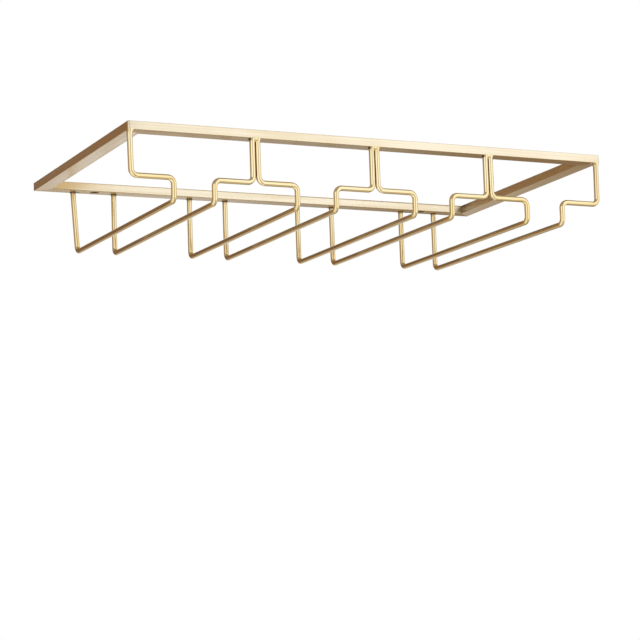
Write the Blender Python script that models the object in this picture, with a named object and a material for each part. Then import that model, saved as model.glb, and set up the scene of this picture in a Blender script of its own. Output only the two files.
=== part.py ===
"""Hanging rack for stemmed glasses, screwed up under a cabinet or shelf.

Four flat tubes, mitred at the corners, make the frame that lies against the cabinet.
Eight bent wire rails are welded under it, two for each slot. A glass is pushed in from
the front: its foot goes through the wide window between two front posts and comes down
behind the lip onto the two rails, while its stem hangs through the gap between them.

Metres, +Z up. X runs along the front and Y runs back. The origin is the centre of the
frame's top plane, which is the plane of the cabinet's underside.
"""

import math

import bmesh
import bpy
from mathutils import Matrix, Vector

# Clearance kept between pieces that are welded together on the real rack
CONTACT_GAP = 0.0003

# Frame of four mitred tubes
FRAME_WIDTH = 0.430
FRAME_DEPTH = 0.236
BAR_WIDTH = 0.0135
BAR_HEIGHT = 0.007
BAR_WALL = 0.001
BAR_CORNER_RADIUS = 0.0005

# Holes in the back bar: a wide one below for the screw's head and the driver,
# and a narrow one above, where the head seats on the inside of the top wall
HOLE_FROM_END = 0.0535
DRIVER_HOLE_DIAMETER = 0.008
SCREW_HOLE_DIAMETER = 0.0045
CUT_OVERRUN = 0.002

# Wire rails
SLOT_COUNT = 4
WIRE_DIAMETER = 0.0045
BEND_RADIUS = 0.005
RAIL_GAP = 0.030
WINDOW_HEIGHT = 0.0335
LIP_HEIGHT = 0.0185
# The rails climb by this much from the lip to the rear post, so a glass rests against the lip
RAIL_RISE = 0.0015
POST_INSET = 0.0008
# The left end rail's rear post was welded with its top this far out of plumb
END_POST_LEAN = 0.0033

# Weld beads: how far each reaches from the post's axis along X, along Y and down
FRONT_BEAD_REACH = (0.0036, 0.0029, 0.0042)
REAR_BEAD_REACH = (0.0030, 0.0029, 0.0026)
# A front bead leans towards its slot, and is flat on the side of the next wire
FRONT_BEAD_SHIFT = 0.0006
FRONT_BEAD_BACK = 0.0020

# Faces for each round form
CORNER_STEPS = 3
BEND_STEPS = 6
WIRE_BEVEL_RESOLUTION = 4
HOLE_SIDES = 24
BEAD_SIDES = 14
BEAD_RINGS = 9
SMOOTH_ANGLE = math.radians(40)

# Satin gold finish: colour, metallic and roughness
BAR_COLOUR = (0.80, 0.60, 0.34, 1.0)
WIRE_COLOUR = (0.78, 0.56, 0.28, 1.0)
GOLD_METALLIC = 1.0
BAR_ROUGHNESS = 0.34
WIRE_ROUGHNESS = 0.26

# Places that follow from the sizes above
WIRE_RADIUS = WIRE_DIAMETER / 2
SLOT_PITCH = (FRAME_WIDTH - WIRE_DIAMETER) / SLOT_COUNT
POST_Y = FRAME_DEPTH / 2 - POST_INSET - WIRE_RADIUS
WIRE_TOP_Z = -BAR_HEIGHT - CONTACT_GAP
STEP_Z = -BAR_HEIGHT - WINDOW_HEIGHT - WIRE_RADIUS
RAIL_Z = STEP_Z - LIP_HEIGHT
HOLE_Y = FRAME_DEPTH / 2 - BAR_WIDTH / 2


def clear_scene():
    """Remove whatever the opened file holds."""
    for item in list(bpy.data.objects):
        bpy.data.objects.remove(item, do_unlink=True)


def gold_finish(name, colour, roughness):
    """Satin gold metal as a Principled material."""
    material = bpy.data.materials.new(name)
    material.use_nodes = True
    shader = material.node_tree.nodes["Principled BSDF"]
    shader.inputs["Base Color"].default_value = colour
    shader.inputs["Metallic"].default_value = GOLD_METALLIC
    shader.inputs["Roughness"].default_value = roughness
    material.diffuse_color = colour
    return material


def add_piece(name, mesh, colour, roughness):
    """Put a finished mesh into the scene as one named sub-part."""
    mesh.materials.clear()
    mesh.materials.append(gold_finish(name + "_finish", colour, roughness))
    mesh.shade_smooth()
    mesh.set_sharp_from_angle(angle=SMOOTH_ANGLE)
    piece = bpy.data.objects.new(name, mesh)
    bpy.context.collection.objects.link(piece)
    return piece


def add_tool(name, form):
    """Turn a bmesh into a hidden tool object for a Boolean, and free the bmesh."""
    mesh = bpy.data.meshes.new(name)
    form.to_mesh(mesh)
    form.free()
    tool = bpy.data.objects.new(name, mesh)
    tool.hide_render = True
    tool.display_type = "WIRE"
    bpy.context.collection.objects.link(tool)
    return tool


def combine(piece, tool, operation):
    """Cut a tool from a piece, or fuse it on."""
    step = piece.modifiers.new(tool.name, "BOOLEAN")
    step.operation = operation
    step.solver = "EXACT"
    step.object = tool


def rounded_rectangle(width, height, radius):
    """Outline (across, up) centred on zero, anticlockwise, with each corner an arc."""
    outline = []
    for quarter, (across, up) in enumerate(((1, 1), (-1, 1), (-1, -1), (1, -1))):
        for step in range(CORNER_STEPS + 1):
            angle = math.radians(90) * (quarter + step / CORNER_STEPS)
            outline.append((
                across * (width / 2 - radius) + radius * math.cos(angle),
                up * (height / 2 - radius) + radius * math.sin(angle),
            ))
    return outline


def join_rings(form, first, second):
    """Skin two rings of vertices, point to point, with a band of four-sided faces."""
    for i in range(len(first)):
        form.faces.new((first[i - 1], first[i], second[i], second[i - 1]))


def mitred_tube(name, length):
    """Hollow flat tube along X with both ends cut at 45 degrees.

    The outer side lies on Y = 0 at full length and the inner side on Y = BAR_WIDTH.
    """
    outside = rounded_rectangle(BAR_WIDTH, BAR_HEIGHT, BAR_CORNER_RADIUS)
    across_share = (BAR_WIDTH - 2 * BAR_WALL) / BAR_WIDTH
    up_share = (BAR_HEIGHT - 2 * BAR_WALL) / BAR_HEIGHT
    inside = [(across * across_share, up * up_share) for across, up in outside]
    cut_back = CONTACT_GAP / 2 * math.sqrt(2)
    form = bmesh.new()
    rings = {}
    for end in (-1, 1):
        for wall, outline in (("outside", outside), ("inside", inside)):
            ring = []
            for across, up in outline:
                inward = BAR_WIDTH / 2 + across
                along = end * (length / 2 - inward - cut_back)
                ring.append(form.verts.new((along, inward, up - BAR_HEIGHT / 2)))
            rings[end, wall] = ring
    join_rings(form, rings[-1, "outside"], rings[1, "outside"])
    join_rings(form, rings[1, "outside"], rings[1, "inside"])
    join_rings(form, rings[1, "inside"], rings[-1, "inside"])
    join_rings(form, rings[-1, "inside"], rings[-1, "outside"])
    bmesh.ops.recalc_face_normals(form, faces=form.faces)
    mesh = bpy.data.meshes.new(name)
    form.to_mesh(mesh)
    form.free()
    return mesh


def add_bar(name, length, place, quarter_turns):
    """One side of the frame: a mitred tube turned to face out from the centre."""
    bar = add_piece(name, mitred_tube(name, length), BAR_COLOUR, BAR_ROUGHNESS)
    bar.location = place
    bar.rotation_euler.z = math.radians(90) * quarter_turns
    return bar


def drill(bar, name, x, low, high, diameter):
    """Drill one wall of the back bar upright at x, between two heights."""
    form = bmesh.new()
    place = Matrix.Translation((x, HOLE_Y, (low + high) / 2))
    bmesh.ops.create_cone(
        form, cap_ends=True, segments=HOLE_SIDES, radius1=diameter / 2, radius2=diameter / 2,
        depth=high - low, matrix=place,
    )
    combine(bar, add_tool(name, form), "DIFFERENCE")


def add_frame():
    """The four bars, with a screw hole near each end of the back bar, over the end slots."""
    half_width = FRAME_WIDTH / 2
    half_depth = FRAME_DEPTH / 2
    add_bar("front_bar", FRAME_WIDTH, (0, -half_depth, 0), 0)
    add_bar("right_bar", FRAME_DEPTH, (half_width, 0, 0), 1)
    back = add_bar("back_bar", FRAME_WIDTH, (0, half_depth, 0), 2)
    add_bar("left_bar", FRAME_DEPTH, (-half_width, 0, 0), 3)
    middle = -BAR_HEIGHT / 2
    hole_x = half_width - HOLE_FROM_END
    for x, side in ((-hole_x, "left"), (hole_x, "right")):
        drill(back, side + "_driver_drill", x, -BAR_HEIGHT - CUT_OVERRUN, middle, DRIVER_HOLE_DIAMETER)
        drill(back, side + "_screw_drill", x, middle, CUT_OVERRUN, SCREW_HOLE_DIAMETER)


def slot_centre(slot):
    """X of a slot's middle, counted from the left."""
    return (slot - (SLOT_COUNT - 1) / 2) * SLOT_PITCH


def rounded_path(corners, radius):
    """Points of a centre line that turns each corner on an arc of the given radius."""
    path = [corners[0]]
    for before, corner, after in zip(corners, corners[1:], corners[2:]):
        arrive = (corner - before).normalized()
        leave = (after - corner).normalized()
        turn = arrive.angle(leave)
        start = corner - arrive * radius * math.tan(turn / 2)
        inward = (leave - arrive * arrive.dot(leave)).normalized()
        centre = start + inward * radius
        axis = arrive.cross(leave)
        for step in range(BEND_STEPS + 1):
            spin = Matrix.Rotation(turn * step / BEND_STEPS, 3, axis)
            path.append(centre + spin @ (start - centre))
    path.append(corners[-1])
    return path


def wire_mesh(name, path):
    """Round wire along a path, with flat ends."""
    line = bpy.data.curves.new(name + "_line", "CURVE")
    line.dimensions = "3D"
    line.bevel_depth = WIRE_RADIUS
    line.bevel_resolution = WIRE_BEVEL_RESOLUTION
    line.use_fill_caps = True
    spline = line.splines.new("POLY")
    spline.points.add(len(path) - 1)
    for point, place in zip(spline.points, path):
        point.co = (*place, 1)
    carrier = bpy.data.objects.new(name + "_line", line)
    mesh = bpy.data.meshes.new_from_object(carrier)
    bpy.data.objects.remove(carrier)
    bpy.data.curves.remove(line)
    return mesh


def trim(form, point, outward):
    """Cut a closed bmesh flat at a plane, dropping what lies outward, and close it."""
    everything = form.verts[:] + form.edges[:] + form.faces[:]
    bmesh.ops.bisect_plane(
        form, geom=everything, dist=0, plane_co=point, plane_no=outward, clear_outer=True,
    )
    rim = [edge for edge in form.edges if edge.is_boundary]
    bmesh.ops.contextual_create(form, geom=rim)


def weld_bead(name, place, reach):
    """Bead of weld as half an ellipsoid that hangs from the post's top."""
    form = bmesh.new()
    shape = Matrix.Translation(place) @ Matrix.Diagonal((*reach, 1))
    bmesh.ops.create_uvsphere(form, u_segments=BEAD_SIDES, v_segments=BEAD_RINGS, radius=1, matrix=shape)
    trim(form, place, Vector((0, 0, 1)))
    return form


def add_rail(name, slot, side):
    """One bent wire rail: side is -1 for a slot's left rail and 1 for its right one.

    From the front bar it goes down as a post, in towards the slot as the step, down again
    as the lip, back as the rail that carries the glass, and up to the back bar.
    """
    toward_slot = -side
    slot_edge = slot_centre(slot) + side * SLOT_PITCH / 2
    at_end = slot == 0 and side < 0 or slot == SLOT_COUNT - 1 and side > 0
    neighbour_shift = 0 if at_end else (WIRE_DIAMETER + CONTACT_GAP) / 2
    post_x = slot_edge + toward_slot * neighbour_shift
    rail_x = slot_centre(slot) + side * (RAIL_GAP + WIRE_DIAMETER) / 2
    lean = END_POST_LEAN if slot == 0 and side < 0 else 0
    front_top = Vector((post_x, -POST_Y, WIRE_TOP_Z))
    rear_top = Vector((rail_x - lean, POST_Y, WIRE_TOP_Z))
    corners = [
        front_top,
        Vector((post_x, -POST_Y, STEP_Z)),
        Vector((rail_x, -POST_Y, STEP_Z)),
        Vector((rail_x, -POST_Y, RAIL_Z)),
        Vector((rail_x, POST_Y, RAIL_Z + RAIL_RISE)),
        rear_top,
    ]
    mesh = wire_mesh(name, rounded_path(corners, BEND_RADIUS))
    rail = add_piece(name, mesh, WIRE_COLOUR, WIRE_ROUGHNESS)
    front_bead = weld_bead(name, front_top + Vector((toward_slot * FRONT_BEAD_SHIFT, 0, 0)), FRONT_BEAD_REACH)
    flat_side = front_top - Vector((toward_slot * FRONT_BEAD_BACK, 0, 0))
    trim(front_bead, flat_side, Vector((-toward_slot, 0, 0)))
    rear_bead = weld_bead(name, rear_top, REAR_BEAD_REACH)
    combine(rail, add_tool(name + "_front_bead", front_bead), "UNION")
    combine(rail, add_tool(name + "_rear_bead", rear_bead), "UNION")


def main():
    clear_scene()
    add_frame()
    for slot in range(SLOT_COUNT):
        add_rail(f"slot_{slot + 1}_left_rail", slot, -1)
        add_rail(f"slot_{slot + 1}_right_rail", slot, 1)


main()
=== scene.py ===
# %% [markdown]
# # Hanging rack for stemmed glasses, in satin gold
#
# The rack hangs under a cabinet. Four flat tubes make a mitred frame, and eight bent wires
# are welded under it in pairs. The CAD model already gives the place and size of every piece.
# This script dresses it: each tube and wire is drawn again as a smooth surface with real
# weld metal, and gets a brushed gold finish.
#
# Metres, Z up. X runs along the front, Y runs back, and the cabinet's underside is Z = 0.

import math

import bmesh
import bpy
import numpy as np
from mathutils import Matrix, Vector


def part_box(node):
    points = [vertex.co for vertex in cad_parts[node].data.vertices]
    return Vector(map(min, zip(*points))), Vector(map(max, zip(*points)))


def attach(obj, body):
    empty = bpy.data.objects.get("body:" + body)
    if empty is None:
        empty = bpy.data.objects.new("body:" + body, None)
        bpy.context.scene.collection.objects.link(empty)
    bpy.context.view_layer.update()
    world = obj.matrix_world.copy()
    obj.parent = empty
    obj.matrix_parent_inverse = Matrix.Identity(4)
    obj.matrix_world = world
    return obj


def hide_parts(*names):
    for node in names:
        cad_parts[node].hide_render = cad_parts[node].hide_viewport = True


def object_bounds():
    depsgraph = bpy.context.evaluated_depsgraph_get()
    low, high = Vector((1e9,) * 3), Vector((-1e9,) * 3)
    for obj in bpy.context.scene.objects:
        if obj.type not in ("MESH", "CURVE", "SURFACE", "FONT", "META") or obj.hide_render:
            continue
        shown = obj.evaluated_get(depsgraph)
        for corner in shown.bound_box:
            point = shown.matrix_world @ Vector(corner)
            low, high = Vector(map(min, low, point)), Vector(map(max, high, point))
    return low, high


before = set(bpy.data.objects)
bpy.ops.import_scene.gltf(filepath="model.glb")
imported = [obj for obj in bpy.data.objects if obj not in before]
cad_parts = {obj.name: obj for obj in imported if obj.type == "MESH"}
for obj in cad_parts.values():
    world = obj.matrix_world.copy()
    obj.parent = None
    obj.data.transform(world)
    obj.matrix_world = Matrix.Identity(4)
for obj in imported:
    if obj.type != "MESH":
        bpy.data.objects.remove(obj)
cad_low, cad_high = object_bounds()
print("CAD box in mm:", [round(1000 * v, 1) for v in (*cad_low, *cad_high)])

# %% [markdown]
# ## Camera
#
# The camera stands in front of the rack, left of its middle and below it, and looks up a
# little. A long lens keeps the frame's edges nearly parallel. Place, turn and lens were
# found by matching the frame's corners and the wires' bends with the photograph.

# %% Camera
CAMERA_PLACE = Vector((-0.81643, -1.71611, -0.42523))
CAMERA_YAW = 0.44414
CAMERA_PITCH = 0.15310
CAMERA_ROLL = -0.03668
SENSOR_WIDTH = 36.0
FOCAL_LENGTH = 126.407
FAR_LIMIT = 50.0

scene = bpy.context.scene
camera_data = bpy.data.cameras.new("camera")
camera_data.sensor_width = SENSOR_WIDTH
camera_data.lens = FOCAL_LENGTH
camera_data.clip_end = FAR_LIMIT
camera = bpy.data.objects.new("camera", camera_data)
scene.collection.objects.link(camera)
scene.camera = camera

# Blender's camera looks along its own -Z, so it is first tipped up by a right angle
turn = (
    Matrix.Rotation(-CAMERA_YAW, 4, "Z")
    @ Matrix.Rotation(math.pi / 2 + CAMERA_PITCH, 4, "X")
    @ Matrix.Rotation(CAMERA_ROLL, 4, "Z")
)
camera.matrix_world = Matrix.Translation(CAMERA_PLACE) @ turn
print("camera looks along", [round(v, 3) for v in turn.to_3x3() @ Vector((0, 0, -1))])

# %% [markdown]
# ## Making meshes from numpy arrays
#
# Every form here is a grid of points, worked out at once. Helpers write the grid's faces by
# index and put them into a mesh with its UV map and attributes. Two soft curves, a rise and a
# fall, shape the welds and fade the marks on the metal.

# %% Mesh helpers
# Least length to divide by
TINY = 1e-9


def join(*values):
    """Arrays or numbers as the last axis of one array, such as x, y and z of points."""
    return np.stack(np.broadcast_arrays(*values), axis=-1)


def skin(rows, columns, round_columns=True):
    """Four-sided faces of a grid, whose point (row, column) is number row * columns + column.

    With the columns running anticlockwise round the direction of the rows, they face out.
    """
    here = columns * np.arange(rows - 1)[:, None]
    column = np.arange(columns if round_columns else columns - 1)
    after = (column + 1) % columns
    corners = here + column, here + after, here + columns + after, here + columns + column
    return join(*corners).reshape(-1, 4)


def run_lengths(points):
    """Way along a row of points, from 0 at the first."""
    return np.concatenate([[0], np.cumsum(np.linalg.norm(np.diff(points, axis=0), axis=1))])


def fan(middle, rim):
    """Triangles from one point to a ring of others."""
    return join(middle, rim, np.roll(rim, -1))


def make_piece(name, points, faces, uv=None, **attributes):
    """New object of points and faces. uv and each attribute hold one value per point."""
    mesh = bpy.data.meshes.new(name)
    mesh.from_pydata(points.tolist(), [], [face.tolist() for face in faces])
    mesh.validate()
    corner_point = np.empty(len(mesh.loops), dtype=np.int32)
    mesh.loops.foreach_get("vertex_index", corner_point)
    if uv is not None:
        layer = mesh.uv_layers.new(name="length_and_girth")
        layer.data.foreach_set("uv", uv[corner_point].astype(np.float32).ravel())
    for title, values in attributes.items():
        layer = mesh.attributes.new(title, "FLOAT", "POINT")
        layer.data.foreach_set("value", values.astype(np.float32))
    mesh.shade_smooth()
    piece = bpy.data.objects.new(name, mesh)
    scene.collection.objects.link(piece)
    return piece


def rise(value, start, run):
    """S-shaped rise from 0 to 1 while value goes from start to start + run: 3v^2 - 2v^3."""
    v = np.clip((value - start) / run, 0, 1)
    return v * v * (3 - 2 * v)


def fall(value, start, run):
    """The same curve from 1 down to 0."""
    return 1 - rise(value, start, run)


print("faces of 3 by 3 points:", len(skin(3, 3, round_columns=False)))

# %% [markdown]
# ## Helpers for shader nodes
#
# A material here is a few lines of sums. These helpers add a node with its inputs set by
# name, and make shader groups: an effect that several materials share is built once.

# %% Shader helpers
VALUE, VECTOR, COLOUR = "NodeSocketFloat", "NodeSocketVector", "NodeSocketColor"


def new_group(name, inputs, outputs):
    """Empty shader group; its sockets are given as (name, type) or (name, type, default)."""
    group = bpy.data.node_groups.new(name, "ShaderNodeTree")
    for in_out, sockets in (("INPUT", inputs), ("OUTPUT", outputs)):
        for title, kind, *default in sockets:
            socket = group.interface.new_socket(name=title, in_out=in_out, socket_type=kind)
            if default:
                socket.default_value = default[0]
    return group, group.nodes.new("NodeGroupInput").outputs, group.nodes.new("NodeGroupOutput")


def plug(tree, value, socket):
    """Link a socket, or set a plain value."""
    if isinstance(value, bpy.types.NodeSocket):
        tree.links.new(value, socket)
    else:
        socket.default_value = value


def fill(tree, node, **values):
    """Plug or set a node's inputs by name (spaces as _)."""
    for title, value in values.items():
        found = [s for s in node.inputs if s.name.replace(" ", "_") == title and s.enabled]
        plug(tree, value, found[0])
    return node


def put(tree, kind, settings=None, **values):
    """Add a node of type "ShaderNode" + kind, set its properties and fill its inputs."""
    node = tree.nodes.new("ShaderNode" + kind)
    for title, value in (settings or {}).items():
        setattr(node, title, value)
    return fill(tree, node, **values)


def sums(tree, operation, *values):
    """Math node on sockets or numbers; gives its output."""
    node = put(tree, "Math", {"operation": operation})
    for value, socket in zip(values, node.inputs):
        plug(tree, value, socket)
    return node.outputs[0]


def ease(tree, value, start, end, low=0.0, high=1.0):
    """S-shaped change from low to high while value goes from start to end; gives its output."""
    return put(tree, "MapRange", {"interpolation_type": "SMOOTHSTEP"}, Value=value,
               From_Min=start, From_Max=end, To_Min=low, To_Max=high).outputs["Result"]


def blend_colour(tree, share, first, second):
    """Mix node on colours; gives its output."""
    mix = put(tree, "Mix", {"data_type": "RGBA"}, Factor=share, A=first, B=second)
    return mix.outputs[2]


print("socket types:", VALUE, VECTOR, COLOUR)

# %% [markdown]
# ## White room
#
# Polished metal has hardly a colour of its own: it shows the room. This one is white all
# round, for the camera and for reflections alike. Matt surfaces get a little less from it,
# because a wide lamp overhead adds the rest and makes the shadow.

# %% World and lamp
ROOM_LIGHT = 0.72
LAMP_PLACE = (0.2, -0.2, 2.4)
LAMP_SIZE = 1.6
LAMP_POWER = 20.0

world = bpy.data.worlds.new("white_room")
scene.world = world
world.use_nodes = True
tree = world.node_tree
tree.nodes.clear()
rays = put(tree, "LightPath").outputs
seen = sums(tree, "MAXIMUM", rays["Is Camera Ray"], rays["Is Glossy Ray"])
seen = sums(tree, "MAXIMUM", seen, rays["Is Transmission Ray"])
strength = sums(tree, "MULTIPLY_ADD", seen, 1.0 - ROOM_LIGHT, ROOM_LIGHT)
backdrop = put(tree, "Background", Color=(1.0, 1.0, 1.0, 1.0), Strength=strength)
put(tree, "OutputWorld", Surface=backdrop.outputs[0])
scene.view_settings.view_transform = "Standard"

lamp_data = bpy.data.lights.new("top_panel", "AREA")
lamp_data.shape = "DISK"
lamp_data.size = LAMP_SIZE
lamp_data.energy = LAMP_POWER
lamp = bpy.data.objects.new("top_panel", lamp_data)
lamp.location = LAMP_PLACE
lamp.visible_glossy = False
scene.collection.objects.link(lamp)
print("room at", ROOM_LIGHT, "and a lamp of", LAMP_POWER, "W")

# %% [markdown]
# The floor is a pale round sheet of matt white paper, faintly cloudy, well under the rack. It
# turns see-through towards its rim, so no line crosses the white background. The metal
# doesn't reflect it, because the cards below do that work.

# %% Floor
FLOOR_Z = -0.70
FLOOR_RADIUS = 1.9
FLOOR_RINGS = 24
FLOOR_SIDES = 96
# The first ring, as a share of the radius; a fan of triangles closes the middle
FIRST_RING = 0.02
FADE_START, FADE_END = 0.45 * FLOOR_RADIUS, 0.98 * FLOOR_RADIUS
PAPER_DARK = (0.86, 0.86, 0.855, 1.0)
PAPER_LIGHT = (0.90, 0.90, 0.895, 1.0)

# Point (ring, side) of the sheet: the radius grows with the ring, the height stays
radius = FLOOR_RADIUS * np.linspace(FIRST_RING, 1, FLOOR_RINGS)[:, None]
side = np.arange(FLOOR_SIDES)
angle = side * math.tau / FLOOR_SIDES
rings = join(radius * np.cos(angle), radius * np.sin(angle), FLOOR_Z)
floor_points = np.vstack([rings.reshape(-1, 3), (0, 0, FLOOR_Z)])
floor_faces = [*skin(FLOOR_RINGS, FLOOR_SIDES)[:, ::-1], *fan(len(floor_points) - 1, side)]
floor = make_piece("floor", floor_points, floor_faces)
floor.visible_glossy = False

paper = bpy.data.materials.new("white_paper")
paper.use_nodes = True
tree = paper.node_tree
place = put(tree, "TexCoord").outputs["Object"]
cloud = put(tree, "TexNoise", Vector=place, Scale=6.0)
tone = blend_colour(tree, cloud.outputs["Fac"], PAPER_DARK, PAPER_LIGHT)
level = put(tree, "Mapping", Vector=place, Scale=(1, 1, 0)).outputs[0]
reach = put(tree, "VectorMath", {"operation": "LENGTH"}, Vector=level)
fade = ease(tree, reach.outputs["Value"], FADE_START, FADE_END, 1.0, 0.0)
fill(tree, tree.nodes["Principled BSDF"], Base_Color=tone, Roughness=0.9, Alpha=fade)
floor.data.materials.append(paper)
print("floor:", len(floor.data.polygons), "faces, fading from", round(FADE_START, 3), "m on")

# %% [markdown]
# ## Cards round the rack
#
# In a white room alone gold looks like pale plastic. So a photographer hangs cards round it,
# and the metal shows them as bright and dark bands. Each card is a patch of a large ball round
# the rack, given by its bearing (0 is the front, 90 the right) and its height. A flat side of
# a tube mirrors one small part of that ball, so each card was placed and toned by the side
# that shows it. Only reflections see the cards.

# %% Shapes of the cards
CARD_DISTANCE = 3.0
CARD_CELLS = 12
# Name, bearing from and to, height from and to, tone, and width of the soft rim, in degrees
CARDS = (
    ("ceiling_card", (-180, 180), (22, 88), (0.46, 0.42, 0.36), 10),
    ("right_card", (56, 150), (-2, 30), (0.86, 0.85, 0.84), 12),
    ("cool_back_card", (136, 200), (-34, 8), (1.02, 1.05, 1.11), 9),
    ("low_side_card", (14, 150), (-88, -26), (0.64, 0.59, 0.49), 12),
    ("low_right_card", (96, 159), (-62, 4), (0.50, 0.42, 0.33), 11),
    ("table_card", (92, 167), (-60, -18), (0.26, 0.20, 0.12), 16),
    ("low_back_card", (160, 238), (-72, -6), (0.58, 0.48, 0.38), 9),
    ("dark_screen", (-194, -78), (-20, 60), (0.30, 0.160, 0.062), 14),
    ("dusk_card", (-176, -154), (-20, 60), (0.245, 0.148, 0.074), 6),
    ("plum_card", (-182, -154.5), (-20, 60), (0.26, 0.175, 0.128), 4),
    ("olive_card", (-140, -66), (-30, 60), (0.50, 0.46, 0.38), 10),
    ("left_panel", (-77, -16), (-60, 28), (1.36, 1.36, 1.38), 8),
    ("camera_side_card", (-27, 15), (-60, 32), (0.56, 0.55, 0.50), 8),
    ("front_panel", (-2, 72), (-36, 54), (1.345, 1.37, 1.40), 20),
)


def card_points(bearings, heights, distance):
    """Ball patch: distance * (sin bearing cos height, -cos bearing cos height, sin height)."""
    bearing = np.radians(np.linspace(*bearings, CARD_CELLS + 1))[:, None]
    height = np.radians(np.linspace(*heights, CARD_CELLS + 1))
    x, y = np.sin(bearing) * np.cos(height), -np.cos(bearing) * np.cos(height)
    return distance * join(x, y, np.sin(height)).reshape(-1, 3)


print("cards:", [row[0] for row in CARDS])

# %% [markdown]
# All cards share one finish, each in its own tone: cloth that glows a little unevenly and
# fades out along its rim, so that no hard line shows in the metal. The fade is a shader group
# that takes the width of the rim as a share of the card.

# %% Finish of the cards
CARD_STEP = 0.03
# Widest rim at the top and bottom in degrees, and the rim's share where a card goes all round
UPPER_RIM = 9
NO_RIM = 0.001

rim_group, given, result = new_group(
    "soft_rim",
    [("Place", VECTOR), ("Rim Across", VALUE, 0.1), ("Rim Up", VALUE, 0.1)],
    [("Mask", VALUE), ("Cloth", VALUE)],
)
share = put(rim_group, "SeparateXYZ", Vector=given["Place"])
masks = []
for axis, rim in (("X", "Rim Across"), ("Y", "Rim Up")):
    off_middle = sums(rim_group, "SUBTRACT", share.outputs[axis], 0.5)
    to_rim = sums(rim_group, "SUBTRACT", 0.5, sums(rim_group, "ABSOLUTE", off_middle))
    masks.append(ease(rim_group, sums(rim_group, "DIVIDE", to_rim, given[rim]), 0.0, 1.0))
cloth = put(rim_group, "TexNoise", Vector=given["Place"], Scale=3.0, Detail=2.0)
glow = ease(rim_group, cloth.outputs["Fac"], 0.3, 0.7, 0.97, 1.03)
fill(rim_group, result, Mask=sums(rim_group, "MULTIPLY", *masks), Cloth=glow)


def hang_card(order, name, bearings, heights, tone, rim):
    """One card; a later one hangs a little nearer, so it covers an earlier one."""
    points = card_points(bearings, heights, CARD_DISTANCE - CARD_STEP * order)
    share = np.linspace(0, 1, CARD_CELLS + 1)
    uv = join(share[:, None], share).reshape(-1, 2)
    card = make_piece(name, points, skin(len(share), len(share), False), uv)
    finish = bpy.data.materials.new(name + "_cloth")
    finish.use_nodes = True
    tree = finish.node_tree
    tree.nodes.clear()
    width, height = bearings[1] - bearings[0], heights[1] - heights[0]
    across = NO_RIM if width >= 360 else rim / width
    edge = put(tree, "Group", {"node_tree": rim_group}, Place=put(tree, "TexCoord").outputs["UV"],
               Rim_Across=across, Rim_Up=min(rim, UPPER_RIM) / height)
    glow = put(tree, "Emission", Color=(*tone, 1.0), Strength=edge.outputs["Cloth"])
    clear = put(tree, "BsdfTransparent")
    mixed = put(tree, "MixShader", Fac=edge.outputs["Mask"])
    tree.links.new(clear.outputs[0], mixed.inputs[1])
    tree.links.new(glow.outputs[0], mixed.inputs[2])
    put(tree, "OutputMaterial", Surface=mixed.outputs[0])
    card.data.materials.append(finish)
    for kind in ("camera", "diffuse", "transmission", "volume_scatter", "shadow"):
        setattr(card, "visible_" + kind, False)
    return card


cards = [hang_card(order, *row) for order, row in enumerate(CARDS)]
print("hung:", len(cards), "cards")

# %% [markdown]
# ## Gold finish
#
# The rack is steel with a satin gold plating. Fine lines run along each tube and wire, from
# the brushing before it was plated. They widen every reflection across them and leave it sharp
# along them. The tone also drifts a little from place to place, and near a weld the gold is
# deeper. Lines and drift are shader groups, because the tubes and the wires share them.
#
# The lines are noise that is stretched sixty times along the piece. The UV map counts metres
# along it in U and metres round it in V. The fine lines go to the bump and the coarse ones, a
# sixth as many, to the streaks in the colour.

# %% Brushed lines group
COARSE_SHARE = 0.16

lines_group, given, result = new_group(
    "brushed_lines",
    [("Place", VECTOR), ("Lines per Metre", VALUE, 4000.0), ("Stretch", VALUE, 60.0)],
    [("Height", VALUE), ("Streak", VALUE)],
)
across = put(lines_group, "SeparateXYZ", Vector=given["Place"])
along_scaled = sums(lines_group, "DIVIDE", across.outputs["X"], given["Stretch"])
stretched = put(lines_group, "CombineXYZ", X=along_scaled, Y=across.outputs["Y"])
per_metre = given["Lines per Metre"]
coarse = sums(lines_group, "MULTIPLY", per_metre, COARSE_SHARE)
for title, scale, detail, rough in (("Height", per_metre, 3.0, 0.6), ("Streak", coarse, 2.0, 0.5)):
    noise = put(lines_group, "TexNoise", {"noise_dimensions": "2D"},
                Vector=stretched.outputs[0], Scale=scale, Detail=detail, Roughness=rough)
    lines_group.links.new(noise.outputs["Fac"], result.inputs[title])
print("brushed lines take", len(lines_group.nodes), "nodes")

# %% [markdown]
# Plating tone: a slow drift between a paler and a deeper gold, and a change towards a third
# colour where a mark on the mesh says that a weld has heated the metal or that shade is painted
# there. A further deepening input paints shade on the low wires. Where the gold is deeper it is
# also a little duller, and fine specks break up its shine.

# %% Plating tone group
# What slow drift and brushed streaks each add to the mix, and the range of it that shows
DRIFT_WEIGHT, STREAK_WEIGHT = 0.45, 0.55
PALE_UP_TO, DEEP_FROM, MOST_DRIFT = 0.40, 0.60, 0.8
SPECK_DULLNESS, DRIFT_DULLNESS = 0.02, 0.04

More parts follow.
